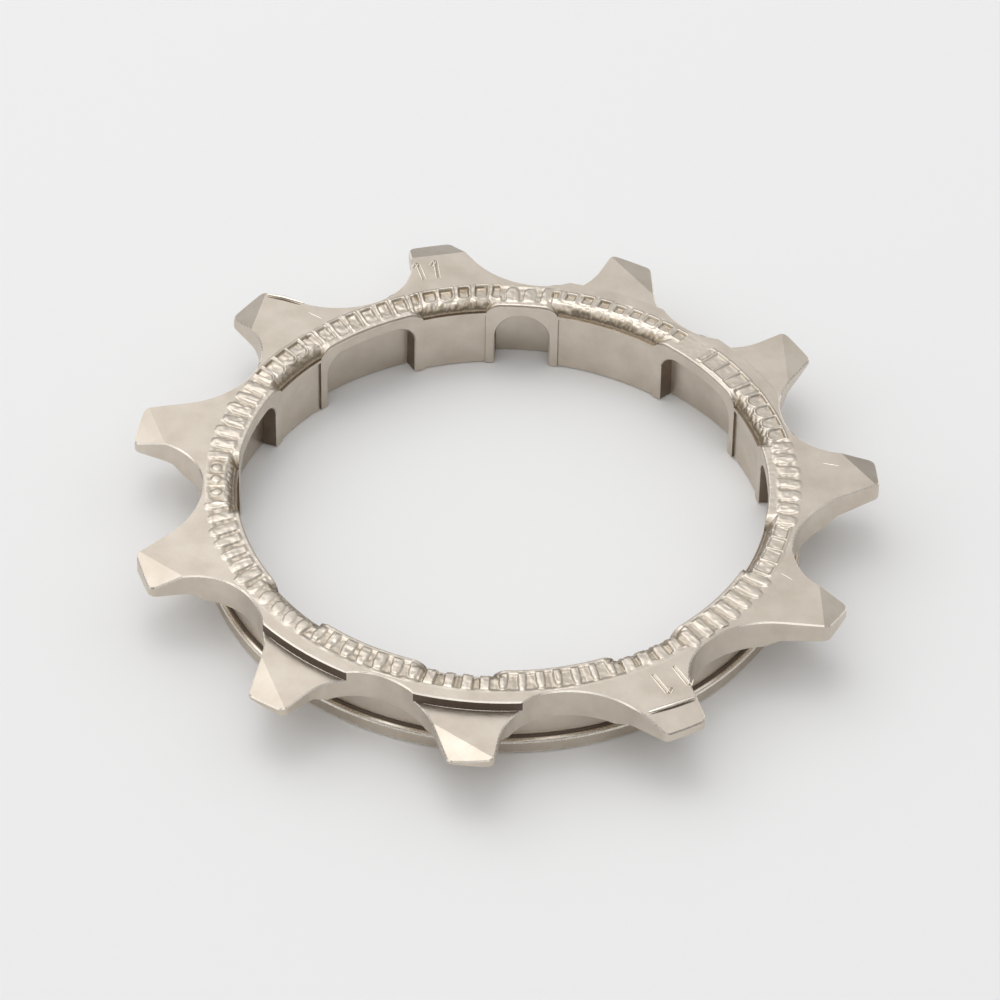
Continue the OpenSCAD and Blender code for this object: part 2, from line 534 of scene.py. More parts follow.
@dataclass
class ForgedBody:
    """The forged cog: toothed plate, collar and spline bore.

    Attributes:
        node: CAD node that it stands for.
        trench_floor: Height down to which the ring's place is cleared.
        trench_height: Height of what is cleared there.
        trench_in: Inner radius of that place.
        trench_out: Outer radius of that place.
        edge: Width of a broken edge.
        joint: Points closer than this are one point.
        flat_angle: Faces that differ by less are one face, in degrees.
        broken_angle: Edges sharper than this are broken, in degrees.
        corner_angle: Edges sharper than this look crisp, in degrees.
        ridge_angle: The same where both faces lie, in degrees.
        lying: Upward part of a normal from which a face counts as lying.
        standing: The same, below which it counts as standing.
        step_teeth: Lowered teeth whose step faces the front.
        step_half: Half the turn that a step takes, in degrees.
        step_r: Radii between which the walls of the steps stand.
        step_z: Heights between which their middles lie.
        bore_edge_r: Radius within which a broken edge belongs to the bore.
        slot_r: Radii between which the sides of the slots lie.
        slot_z: Heights between which they lie.
        marks: Strokes of the plain number.
    """

    node: str = "cog"
    trench_floor: float = 4.72
    trench_height: float = 2.0
    trench_in: float = 16.0
    trench_out: float = 18.5
    edge: float = 0.12
    joint: float = 0.001
    flat_angle: float = 0.4
    broken_angle: float = 28.0
    corner_angle: float = 20.0
    ridge_angle: float = 2.0
    lying: float = 0.85
    standing: float = 0.3
    step_teeth: tuple[int, ...] = (7, 8)
    step_half: float = 11.5
    step_r: Span = (19.2, 19.45)
    step_z: Span = (TOP - 0.7, TOP - 0.05)
    bore_edge_r: float = 17.7
    slot_r: Span = (16.5, 17.5)
    slot_z: Span = (0.2, 4.4)
    marks: list[Groove] = field(
        default_factory=lambda: [
            Groove(1, (-1.5, 21.3), (-1.34, 19.5), 0.2),
            Groove(1, (-1.5, 21.3), (-1.85, 20.8), 0.16),
            Groove(1, (-0.3, 21.35), (-0.42, 19.5), 0.2),
            Groove(1, (-0.3, 21.35), (-0.7, 20.8), 0.16),
            Groove(6, (-0.25, 19.05), (-0.35, 21.0), 0.2),
            Groove(6, (-0.35, 21.0), (-0.8, 20.6), 0.16),
            Groove(6, (-1.72, 19.0), (-1.8, 20.95), 0.2),
            Groove(6, (-1.8, 20.95), (-2.2, 20.5), 0.16),
        ]
    )

    def build(self) -> Piece:
        """Make the body.

        Returns:
            The finished object.
        """
        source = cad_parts[self.node]
        body = bpy.data.objects.new("forged_body", source.data.copy())
        bpy.context.scene.collection.objects.link(body)
        body.data.materials.clear()
        body.data.transform(Matrix.Scale(1 / MM, 4))
        self._merge(body)
        trench = ring_block(
            "trench", self.trench_in, self.trench_out, self.trench_floor, self.trench_height
        )
        carve(body, trench)
        self._merge(body)
        for _ in Finish:
            body.data.materials.append(None)
        self._break_edges(body)
        for i, mark in enumerate(self.marks):
            carve(body, v_cutter(f"mark_{i}", mark))
        self._shade(body)
        return body

    def _merge(self, body: Piece) -> None:
        """Join loose triangles and stray points into whole flat faces."""
        make_active(body)
        bpy.ops.object.mode_set(mode="EDIT")
        bpy.ops.mesh.select_all(action="SELECT")
        bpy.ops.mesh.remove_doubles(threshold=self.joint)
        bpy.ops.mesh.dissolve_limited(angle_limit=math.radians(self.flat_angle))
        bpy.ops.object.mode_set(mode="OBJECT")

    def _select(
        self,
        body: Piece,
        kind: str,
        wanted: Callable[[bmesh.types.BMEdge | bmesh.types.BMFace], bool],
    ) -> None:
        """Enter edit mode with the wanted edges or faces selected.

        Args:
            body: The body.
            kind: EDGE or FACE.
            wanted: Tells whether an element is to be selected.
        """
        make_active(body)
        bpy.ops.object.mode_set(mode="EDIT")
        bpy.ops.mesh.select_mode(type=kind)
        bpy.ops.mesh.select_all(action="DESELECT")
        shape = bmesh.from_edit_mesh(body.data)
        for element in shape.edges if kind == "EDGE" else shape.faces:
            if wanted(element):
                element.select_set(True)
        bmesh.update_edit_mesh(body.data)

    def _break_edges(self, body: Piece) -> None:
        """Take the sharpness off the outer edges with a narrow chamfer, whose faces take the
        painted highlight.
        """
        self._select(body, "EDGE", self._is_edge)
        bpy.ops.mesh.bevel(
            offset=self.edge,
            offset_type="WIDTH",
            segments=1,
            affect="EDGES",
            clamp_overlap=False,
            material=Finish.BURNISHED.value,
        )
        bpy.ops.mesh.select_all(action="SELECT")
        bpy.ops.mesh.dissolve_degenerate(threshold=2 * self.joint)
        bpy.ops.object.mode_set(mode="OBJECT")

    def _is_edge(self, edge: bmesh.types.BMEdge) -> bool:
        """Tell whether an edge is one to be broken, clear of the ring's trench."""
        if len(edge.link_faces) != 2 or not edge.is_convex:
            return False
        middle = (edge.verts[0].co + edge.verts[1].co) / 2
        beside, below = 0.05, 0.5
        under_ring = math.hypot(middle.x, middle.y) < self.trench_out + beside
        if under_ring and middle.z > self.trench_floor - below:
            return False
        return edge.calc_face_angle(0.0) > math.radians(self.broken_angle)

    def _is_crisp(self, edge: bmesh.types.BMEdge) -> bool:
        """Tell whether an edge is a corner, or the ridge of a ramp between lying faces."""
        if len(edge.link_faces) != 2:
            return True
        lying = min(face.normal.z for face in edge.link_faces) > self.lying
        least = self.ridge_angle if lying else self.corner_angle
        return edge.calc_face_angle(0.0) > math.radians(least)

    def _is_step(self, face: bmesh.types.BMFace) -> bool:
        """Tell whether a face is the wall of a step that faces the front."""
        middle = face.calc_center_median()
        bearing = math.degrees(math.atan2(middle.y, middle.x))
        near = any(
            abs((bearing - bearing_of(tooth) + 180) % 360 - 180) < self.step_half
            for tooth in self.step_teeth
        )
        return (
            near
            and abs(face.normal.z) < self.standing
            and self.step_z[0] < middle.z < self.step_z[1]
            and self.step_r[0] < math.hypot(middle.x, middle.y) < self.step_r[1]
        )

    def _is_bore_edge(self, face: bmesh.types.BMFace) -> bool:
        """Tell whether a face is a broken edge inside the bore, which is left without the painted
        highlight.
        """
        middle = face.calc_center_median()
        broken = face.material_index == Finish.BURNISHED.value
        return broken and math.hypot(middle.x, middle.y) < self.bore_edge_r

    def _is_slot_side(self, face: bmesh.types.BMFace) -> bool:
        """Tell whether a face is a side or the ceiling of a spline slot."""
        middle = face.calc_center_median()
        out = math.hypot(middle.x, middle.y)
        toward_axis = abs(face.normal.x * middle.x + face.normal.y * middle.y)
        return (
            toward_axis < out / 2
            and self.slot_r[0] < out < self.slot_r[1]
            and self.slot_z[0] < middle.z < self.slot_z[1]
        )

    def _shade(self, body: Piece) -> None:
        """Shade round faces smooth, keep corners crisp, paint dark brown and shade on step walls
        and slot sides, and keep bore edges plain.
        """
        shade_round(body)
        self._select(body, "EDGE", self._is_crisp)
        bpy.ops.mesh.mark_sharp()
        apply_modifier(body, "WEIGHTED_NORMAL", keep_sharp=True, weight=80)
        # Step walls get dark brown as oxide and painted shade, slot sides get painted shade, and
        # bore chamfers lose the painted highlight
        for finish, wanted in (
            (Finish.PLATE, self._is_bore_edge),
            (Finish.SCALE, self._is_step),
            (Finish.STAINED, self._is_slot_side),
        ):
            self._select(body, "FACE", wanted)
            body.active_material_index = finish.value
            bpy.ops.object.material_slot_assign()
            bpy.ops.object.mode_set(mode="OBJECT")


def ring_block(
    name: str, inner: float, outer: float, floor: float, height: float
) -> Piece:
    """Wrap a grid into a ring with a square section, used as a cutter.

    Args:
        name: Name of the cutter.
        inner: Inner radius.
        outer: Outer radius.
        floor: Height of its underside.
        height: Its own height.

    Returns:
        The cutter.
    """
    turn = np.radians(np.arange(361.0))
    r = np.array([inner, outer, outer, inner, inner])
    z = np.array([0, 0, height, height, 0]) + floor
    places = np.stack(
        [
            np.outer(np.cos(turn), r),
            np.outer(np.sin(turn), r),
            np.broadcast_to(z, (len(turn), len(r))),
        ],
        -1,
    )
    places[-1] = places[0]
    return wrapped_grid(name, places)


def v_cutter(name: str, mark: Groove) -> Piece:
    """Make the prism that cuts one groove: a bar whose underside is drawn to a keel.

    Args:
        name: Name of the cutter.
        mark: The groove to be cut.

    Returns:
        The cutter.
    """
    a = Vector(on_tooth(mark.tooth, *mark.start))
    b = Vector(on_tooth(mark.tooth, *mark.end))
    middle, run = (a + b) / 2, b - a
    depth = mark.width * 0.3
    keel_share, spread = 0.86, 2.0
    deselect_all()
    bpy.ops.mesh.primitive_cube_add(
        size=1.0,
        location=(middle.x, middle.y, TOP),
        rotation=(0, 0, math.atan2(run.y, run.x)),
        scale=(run.length, mark.width, depth),
    )
    bar = bpy.context.object
    bar.name = name
    for vertex in bar.data.vertices:
        if vertex.co.z < 0:
            vertex.co = Vector((vertex.co.x * keel_share, 0, -depth))
        else:
            vertex.co = Vector((vertex.co.x, vertex.co.y * spread, depth))
    settle(bar)
    close_skin(bar)
    return bar


# Serrated ring


@dataclass(frozen=True)
class Bumps:
    """Smooth random unevenness over the ring, the same on every run.

    Attributes:
        seed: Seed of the random draw.
        grain: Size of one bump in millimetres.
        height: Height of the bumps in millimetres.
        middle: Radius at which the grain is true.
        origin: Radius from which the rows of bumps are counted.
        rows: Rows of bumps before they repeat.
    """

    seed: int
    grain: float
    height: float = 1.0
    middle: float = 17.5
    origin: float = 14.0
    rows: int = 64

    def at(self, around: np.ndarray, out: np.ndarray) -> np.ndarray:
        """Draw the unevenness.

        Args:
            around: Bearings in degrees.
            out: Radii in millimetres, in the same shape.

        Returns:
            Heights in millimetres, of about minus to plus the height.
        """
        cells = int(round(2 * math.pi * self.middle / self.grain))
        draw = np.random.default_rng(self.seed).uniform(-1, 1, (cells, self.rows))
        u = (around % 360) / 360 * cells
        v = (out - self.origin) / self.grain
        i, j = np.floor(u).astype(int), np.floor(v).astype(int)
        fu, fv = smooth(u - i, 0, 1), smooth(v - j, 0, 1)
        a, b = i % cells, (i + 1) % cells
        c, d = j % self.rows, (j + 1) % self.rows
        near = draw[a, c] * (1 - fu) + draw[b, c] * fu
        far = draw[a, d] * (1 - fu) + draw[b, d] * fu
        return self.height * (near * (1 - fv) + far * fv)


HAMMERED_COARSE = Bumps(seed=3, grain=0.34, height=0.03)
HAMMERED_FINE = Bumps(seed=5, grain=0.15, height=0.045)
FORGED_SKIN = Bumps(seed=11, grain=0.2, height=0.008)
GRIT = Bumps(seed=17, grain=0.28)
STREAKS = Bumps(seed=23, grain=0.13)


class Relief(Enum):
    """Form of the serration on a stretch of the ring."""

    ROUND_END = "pockets with a round inner end and a raised rim"
    SQUARE = "square pockets with a raised edge"
    RIB = "round-topped ribs over narrow valleys"
    BLOCK = "flat blocks between brown gaps"
    BLOB = "round blobs on a lowered strip"


@dataclass(frozen=True)
class Stretch:
    """One stretch of the serrated ring.

    Attributes:
        start: Bearing where it begins, in degrees counter-clockwise.
        end: Bearing where it ends.
        form: Form of its serration.
        inner: Radius where the serration begins.
        outer: Radius where it ends.
        share: Share of the pitch that a pocket, rib, block or blob takes.
        depth: Depth of the pockets, valleys or gaps.
        rim: Height of the raised parts.
        lean: Millimetres that the outer end lies clockwise of the inner end.
        shift: Turn from the even places, in degrees.
        grit: Height of the unevenness over the stretch.
        brown: Strength of the painted shade, tinted brown, in its low parts, from 0 to 1.
    """

    start: float
    end: float
    form: Relief
    inner: float
    outer: float
    share: float = 0.62
    depth: float = 0.2
    rim: float = 0.05
    lean: float = 0.0
    shift: float = 0.0
    grit: float = 0.02
    brown: float = 0.5


@dataclass(frozen=True)
class Spots:
    """Places on the ring, seen from the nearest pocket, rib, block or blob.

    Attributes:
        turn: Bearings in degrees.
        out: Radii in millimetres.
        off: Millimetres sideways from its middle line.
        half: Half its width.
        inner: Radius of its inner end.
        outer: Radius of its outer end.
        tail: Radius where it runs out, if it is a rib.
    """

    turn: np.ndarray
    out: np.ndarray
    off: np.ndarray
    half: np.ndarray
    inner: np.ndarray
    outer: np.ndarray
    tail: np.ndarray


Pressed = tuple[np.ndarray, np.ndarray, np.ndarray]


@dataclass
class SerratedRing:
    """The serrated ring on top of the cog, from the bore to the tooth plate.

    Attributes:
        pockets: Places for pockets round the ring.
        seed: Seed of the draw that makes each place a little different.
        middle: Radius at which the width of a place is measured.
        bore: Radius of the rims along the spline slots.
        land: Radius of the lands between the rims.
        shoulder: Width of the round shoulder over a land.
        drop: Height of that shoulder.
        squareness: Power that gives the shoulder its section.
        outer: Radius where the ring meets the tooth plate.
        reach: How far the ends of ribs may run out over a tooth.
        tallest: Height over the tooth plate that no rib or rim goes beyond.
        foot: Height of the skin's foot inside the bore.
        hidden: Radii of the skin's inner and outer edge inside the body.
        hidden_z: Heights of those edges.
        around: Points round the ring.
        across: Points across its top.
        crowding: Power that brings those points closer together at the bore.
        slot_width: Width of a spline slot.
        key_width: Width of the keying slot.
        key_turn: Turn of the keying slot from its even place.
        first_slot: Bearing of the first slot.
        arch_round: Radius of the round shoulders over a slot.
        grit_r: Radii where the grit begins, is full, fades and ends.
        stretches: Stretches of differing serration.
    """

    pockets: int = 100
    seed: int = 97
    middle: float = 17.9
    bore: float = 16.565
    land: float = 16.69
    shoulder: float = 0.66
    drop: float = 0.71
    squareness: float = 1.7
    outer: float = 18.5
    reach: float = 0.36
    tallest: float = 0.13
    foot: float = 4.27
    hidden: Span = (16.97, 18.3)
    hidden_z: Span = (4.22, 4.6)
    around: int = 2160
    across: int = 40
    crowding: float = 1.1
    slot_width: float = 6.45
    key_width: float = 3.5
    key_turn: float = 4.6
    first_slot: float = 30.0
    arch_round: float = 1.0
    grit_r: tuple[float, ...] = (16.95, 17.3, 18.3, 18.5)
    stretches: list[Stretch] = field(
        default_factory=lambda: [
            Stretch(79.5, 97, Relief.ROUND_END, 17.3, 18.4, 0.66, 0.2, 0.08, 0.1, 0.7),
            Stretch(68.5, 79.5, Relief.RIB, 16.95, 18.45, 0.8, 0.04, 0.06, 0, 1.2, 0.02, 0.15),
            Stretch(38.5, 68.5, Relief.SQUARE, 17.5, 18.2, 0.6, 0.18, 0.06, 0, 0, 0.02, 0.4),
            Stretch(17.5, 32, Relief.SQUARE, 16.95, 18.25, 0.86, 0.1, 0.08, 0, 0, 0.02, 0.25),
            Stretch(2, 17.5, Relief.ROUND_END, 17.2, 18.3, 0.82, 0.12, 0.09, 0, 0, 0.02, 0.3),
            Stretch(-23.5, 2, Relief.RIB, 17.2, 18.7, 0.74, 0.04, 0.07, 0.1, 0, 0.025, 0.2),
            Stretch(-38, -23.5, Relief.SQUARE, 17.3, 18.25, 0.84, 0.08, 0.08, 0.1, 0, 0.02, 0.25),
            Stretch(-63, -38, Relief.RIB, 16.9, 18.75, 0.72, 0.06, 0.09, 0.16, 0, 0.02, 0.3),
            Stretch(-77, -63, Relief.BLOCK, 16.7, 18.1, 0.55, 0.14, 0.05, 0.12, 0, 0.02, 0.5),
            Stretch(-103.5, -77, Relief.RIB, 16.85, 18.3, 0.46, 0.1, 0.09, 0.08, 0, 0.015, 0.25),
            Stretch(-117, -103.5, Relief.BLOCK, 16.7, 18.25, 0.54, 0.2, 0.03),
            Stretch(-143, -117, Relief.RIB, 16.9, 18.3, 0.64, 0.06, 0.07, -0.15, 0, 0.03, 0.3),
            Stretch(-158, -143, Relief.BLOB, 17.2, 18.4, 0.7, 0.05, 0.1, -0.3, 0, 0.01, 0.2),
            Stretch(-184, -158, Relief.RIB, 16.9, 18.75, 0.72, 0.06, 0.09, -0.3, 0, 0.02, 0.3),
            Stretch(163, 176, Relief.BLOB, 17.5, 18.2, 0.62, 0.07, 0.12, 0, 0, 0.02, 0.4),
            Stretch(137, 163, Relief.RIB, 16.95, 18.7, 0.74, 0.05, 0.08, 0.1, 0, 0.03, 0.3),
            Stretch(122, 137, Relief.ROUND_END, 17.2, 18.4, 0.76, 0.14, 0.09, 0.15, 0, 0.03, 0.4),
            Stretch(97, 122, Relief.SQUARE, 16.95, 18.3, 0.66, 0.12, 0.08, 0.15, 0, 0.04, 0.35),
        ]
    )

    def build(self) -> Piece:
        """Make the ring.

        Returns:
            The finished object.
        """
        bearings = np.arange(self.around + 1) * 360.0 / self.around
        start = self._inner_edge(bearings)
        end = self._outer_edge(bearings)
        steps = np.linspace(0, 1, self.across) ** self.crowding
        out = start[:, None] + (end - start)[:, None] * steps
        turn = np.broadcast_to(bearings[:, None], out.shape)
        height, scale = self._surface(turn, out)
        tuck = 0.03
        height[:, -1] = TOP - tuck
        even = np.ones(len(bearings))
        inside = (self.hidden[0] * even, self.hidden_z[0] * even, scale[:, 0])
        foot = (start + tuck, self.foot * even, scale[:, 0])
        outside = (self.hidden[1] * even, self.hidden_z[1] * even, 0 * even)
        columns = [inside, foot, *zip(out.T, height.T, scale.T), outside, inside]
        r, z, s = (np.stack(column, 1) for column in zip(*columns))
        a = np.radians(bearings)[:, None]
        places = np.stack([r * np.cos(a), r * np.sin(a), z], -1)
        places[-1] = places[0]
        s[-1] = s[0]
        obj = wrapped_grid("serrated_ring", places)
        self._mark_brown_and_shade(obj, places, s)
        shade_round(obj)
        return obj

    def _mark_brown_and_shade(self, obj: Piece, places: np.ndarray, scale: np.ndarray) -> None:
        """Keep on the mesh how far the brown tint covers it: brown scale and painted shade on the
        shoulder, painted shade in the hollows.
        """
        here = np.zeros(len(obj.data.vertices) * 3)
        obj.data.vertices.foreach_get("co", here)
        here = here.reshape(-1, 3)
        known = {
            tuple(k): v
            for k, v in zip(
                np.round(places.reshape(-1, 3), 4).tolist(), scale.ravel().tolist()
            )
        }
        values = [known.get(tuple(k), 0.0) for k in np.round(here, 4).tolist()]
        layer = obj.data.attributes.new("scale", "FLOAT", "POINT")
        layer.data.foreach_set("value", values)

    def _slots(self) -> list[Span]:
        """Bearing and width of every spline slot."""
        return [
            (
                self.first_slot + SLOT_STEP * i + (self.key_turn if i == KEY_PLACE else 0),
                self.key_width if i == KEY_PLACE else self.slot_width,
            )
            for i in range(SLOTS)
        ]

    def _arch(self, turn: np.ndarray, out: np.ndarray) -> np.ndarray:
        """Height of the rims' arches over the spline slots, far below where there is none."""
        none, crown, rim = -9.0, TOP + 0.02, 0.6
        near, far = 0.6, 9.0
        height = np.full_like(out, none)
        for bearing, width in self._slots():
            off = np.radians((turn - bearing + 180) % 360 - 180)
            side = np.where(np.abs(off) > near, far, np.abs(np.sin(off)) * out)
            flat = width / 2 + rim - self.arch_round
            fall = np.clip(side - flat, 0, self.arch_round)
            arch = crown - self.arch_round + np.sqrt(self.arch_round**2 - fall**2)
            within = side < flat + self.arch_round
            height = np.maximum(height, np.where(within, arch, none))
        return height

    def _inner_edge(self, bearings: np.ndarray) -> np.ndarray:
        """Radius of the ring's inner edge, which stands in along the rims."""
        rim, before, after = 0.58, 0.35, 0.1
        edge = np.full(len(bearings), self.land)
        for bearing, width in self._slots():
            off = np.abs((bearings - bearing + 180) % 360 - 180)
            half = math.degrees(math.asin((width / 2 + rim) / self.bore))
            edge -= (self.land - self.bore) * (1 - smooth(off, half - before, half + after))
        return edge

    def _outer_edge(self, bearings: np.ndarray) -> np.ndarray:
        """Radius of the ring's outer edge, which stays clear of the roller seats."""
        margin, begin, full = 0.05, 2.2, 5.8
        off = np.abs((bearings - 90) % TOOTH_STEP - TOOTH_STEP / 2)
        return self.outer + margin + self.reach * smooth(off, begin, full)

    def _surface(
        self, turn: np.ndarray, out: np.ndarray
    ) -> tuple[np.ndarray, np.ndarray]:
        """Height of the ring's top and how browned it is.

        Args:
            turn: Bearings in degrees.
            out: Radii in millimetres, in the same shape.

        Returns:
            Heights in millimetres, and the share of the brown tint from 0 to 1, which is brown
            scale and painted shade.
        """
        back = np.clip((self.land + self.shoulder - out) / self.shoulder, 0, 1)
        section = (1 - back**self.squareness) ** (1 / self.squareness)
        shoulder = TOP - self.drop + self.drop * section
        arch = np.minimum(self._arch(turn, out), TOP)
        base = np.maximum(shoulder, arch)
        over_land = smooth(TOP - arch, 0.05, 0.4)
        hammered = over_land * smooth(back, 0.02, 0.3)
        lip = self.bore + 0.07 - out
        base -= (1 - over_land) * np.clip(lip, 0, 1) * 0.8
        coarse = HAMMERED_COARSE.at(turn, out)
        height = base + hammered * (coarse + HAMMERED_FINE.at(turn, out))
        height += FORGED_SKIN.at(turn, out)
        fade = smooth(out, self.outer - 0.2, self.outer - 0.02)
        under = smooth(out, self.outer + 0.02, self.outer + 0.35)
        height = height * (1 - fade) + (TOP + 0.001 - 0.03 * under) * fade
        # Brown tint down the shoulder toward the bore: brown scale, and painted shade on its
        # lower part
        ragged = 0.2 * coarse / HAMMERED_COARSE.height
        scale = 0.8 * over_land * smooth(back + ragged, 0.2, 0.75)
        for stretch in self.stretches:
            self._press(stretch, turn, out, height, scale)
        standing = np.clip(height - TOP, 0, None)
        height = np.minimum(height, TOP) + self.tallest * np.tanh(
            standing / self.tallest
        )
        return height, np.clip(scale, 0, 1)

    def _press(
        self,
        stretch: Stretch,
        turn: np.ndarray,
        out: np.ndarray,
        height: np.ndarray,
        scale: np.ndarray,
    ) -> None:
        """Press one stretch's serration into the ring.

        Args:
            stretch: The stretch.
            turn: Bearings in degrees.
            out: Radii in millimetres.
            height: Heights in millimetres, changed in place.
            scale: Share of the brown tint, painted shade in the hollows, changed in place.
        """
        pitch = 360.0 / self.pockets
        middle = (stretch.start + stretch.end) / 2
        half = (stretch.end - stretch.start) / 2
        inside = np.abs((turn - middle + 180) % 360 - 180) <= half
        a, r = turn[inside], out[inside]
        place = np.round((a - stretch.shift) / pitch)
        draw = np.random.default_rng(self.seed).uniform(-1, 1, (self.pockets, 8))
        mine = draw[(place % self.pockets).astype(int)].T
        aside, widened, inner, outer, deepened, raised_more, leaned, longer = mine
        along = (r - stretch.inner) / (stretch.outer - stretch.inner)
        off = np.radians(a - stretch.shift - place * pitch) * r
        half_width = math.radians(pitch) * self.middle * stretch.share / 2
        spots = Spots(
            turn=a,
            out=r,
            off=off + (stretch.lean + 0.06 * leaned) * (along - 0.5) + 0.04 * aside,
            half=half_width * (1 + 0.12 * widened),
            inner=stretch.inner + 0.07 * inner,
            outer=stretch.outer + 0.06 * outer,
            tail=stretch.outer + 0.06 * outer + 0.12 * longer,
        )
        shape = {
            Relief.ROUND_END: self._round_pocket,
            Relief.SQUARE: self._square_pocket,
            Relief.RIB: self._rib,
            Relief.BLOCK: self._block,
            Relief.BLOB: self._blob,
        }[stretch.form]
        raised, sunk, browned = shape(spots)
        clear = smooth(r, self.bore + 0.1, self.bore + 0.3)
        tall = stretch.rim * (1 + 0.3 * raised_more)
        deep = stretch.depth * (1 + 0.2 * deepened)
        begin, full, fade, stop = self.grit_r
        inward = smooth(r, begin, full) * (1 - smooth(r, fade, stop))
        uneven = stretch.grit * inward * GRIT.at(a, r)
        height[inside] += raised * tall * clear - sunk * deep + uneven
        # The brown tint in the low parts of a stretch is painted shade
        scale[inside] += browned * stretch.brown

    def _round_pocket(self, spots: Spots) -> Pressed:
        """A pocket with a round inner end."""
        return self._pocket(spots, spots.half * 0.95)

    def _square_pocket(self, spots: Spots) -> Pressed:
        """A pocket with a square inner end."""
        return self._pocket(spots, np.minimum(0.1, spots.half * 0.4))

    def _pocket(self, spots: Spots, corner: np.ndarray) -> Pressed:
        """A pocket with a rim, with painted shade at its outer end and along its sides.

        Args:
            spots: The places.
            corner: Radius of the corners at its inner end.

        Returns:
            Shares of the raised height, of the depth and of the painted shade.
        """
        qx = np.abs(spots.off) - spots.half + corner
        qy = spots.inner - spots.out + corner
        corners = np.hypot(np.maximum(qx, 0), np.maximum(qy, 0))
        edge = corners + np.minimum(np.maximum(qx, qy), 0) - corner
        edge = np.maximum(edge, spots.out - spots.outer)
        raised = np.exp(-(((edge - 0.07) / 0.06) ** 2))
        deepening = 0.55 + 0.45 * np.clip(spots.out - spots.inner, 0, 1)
        sunk = smooth(-edge, 0.0, 0.07) * deepening
        end = smooth(-edge, -0.02, 0.03) * smooth(spots.out - spots.outer, -0.16, -0.06)
        side = smooth(-edge, 0.0, 0.03) * (1 - smooth(-edge, 0.06, 0.12))
        # Painted shade at the outer end and along the sides
        return raised, sunk, 1.9 * end + 0.6 * side

    def _rib(self, spots: Spots) -> Pressed:
        """A round-topped rib whose ends run out, streaked along its length."""
        r, inner, tail = spots.out, spots.inner, spots.tail
        end = smooth(r, inner - 0.1, inner + 0.12) * (1 - smooth(r, tail - 0.35, tail))
        narrow = spots.half * (1 - 0.35 * smooth(r, tail - 0.7, tail))
        bar = np.sqrt(np.clip(1 - (spots.off / narrow) ** 2, 0, 1)) * end
        stretched = STREAKS.origin + (r - STREAKS.origin) * 0.22
        valley = (1 - smooth(bar, 0.0, 0.5)) * smooth(r, inner, inner + 0.15)
        valley = valley * (1 - smooth(r, 18.1, 18.4))
        # The valleys take painted shade
        return bar * (1 + 0.25 * STREAKS.at(spots.turn, stretched)), valley, valley

    def _block(self, spots: Spots) -> Pressed:
        """A flat block beside a deep gap that runs to the bore, the gap darkened with painted
        shade.
        """
        block = 1 - smooth(np.abs(spots.off), spots.half - 0.03, spots.half + 0.05)
        span = 1 - smooth(spots.out, spots.outer - 0.06, spots.outer + 0.02)
        gap = (1 - block) * span
        return block * span, gap, gap

    def _blob(self, spots: Spots) -> Pressed:
        """A round blob on a strip that lies a little lower."""
        r, inner, outer = spots.out, spots.inner, spots.outer
        reach = (outer - inner) / 2
        away = np.hypot(spots.off / spots.half, (r - (inner + outer) / 2) / reach)
        blob = np.sqrt(np.clip(1 - away**2, 0, 1))
        strip = smooth(r, inner - 0.3, inner - 0.05) * (1 - smooth(r, 18.15, 18.4))
        low = strip * (1 - smooth(blob, 0.0, 0.4))
        # The low strip takes painted shade
        return blob + 0.5 * low, low, low


# Small leftovers


@dataclass(frozen=True)
class Sliver:
    """A thin raised bead of metal that tapers at both ends.

    Attributes:
        name: Name of the piece.
        points: Its middle line in millimetres.
        width: Width in its middle.
        height: Height in its middle.
        stations: Sections along its length.
        sides: Sides of a section.
        taper: Power that keeps it thick until near its ends.
    """

    name: str
    points: Sequence[Place]
    width: float
    height: float
    stations: int = 40
    sides: int = 10
    taper: float = 0.45

    def build(self) -> Piece:
        """Make the bead.

        Returns:
            The finished object.
        """
        line = np.array(self.points)
        spread = np.linspace(0, len(line) - 1, self.stations)
        middle = np.stack(
            [np.interp(spread, range(len(line)), line[:, k]) for k in range(3)], 1
        )
        run = np.gradient(middle, axis=0)
        run /= np.linalg.norm(run, axis=1)[:, None]
        up = np.array([0, 0, 1.0])
        side = np.cross(run, up)
        share = np.sin(np.linspace(0, math.pi, self.stations)) ** self.taper
        turn = np.linspace(0, 2 * math.pi, self.sides + 1)
        half_width = np.cos(turn)[None, :, None] * self.width / 2 * share[:, None, None]
        half_height = np.sin(turn)[None, :, None] * self.height / 2 * share[:, None, None]
        places = middle[:, None, :] + side[:, None, :] * half_width + up * half_height
        places[:, -1] = places[:, 0]
        obj = wrapped_grid(self.name, places)
        shade_round(obj)
        return obj


def over(tooth: int, places: Sequence[Place]) -> list[Place]:
    """Turn places on a tooth, with heights, into points of a middle line."""
    return [(*on_tooth(tooth, across, out), z) for across, out, z in places]


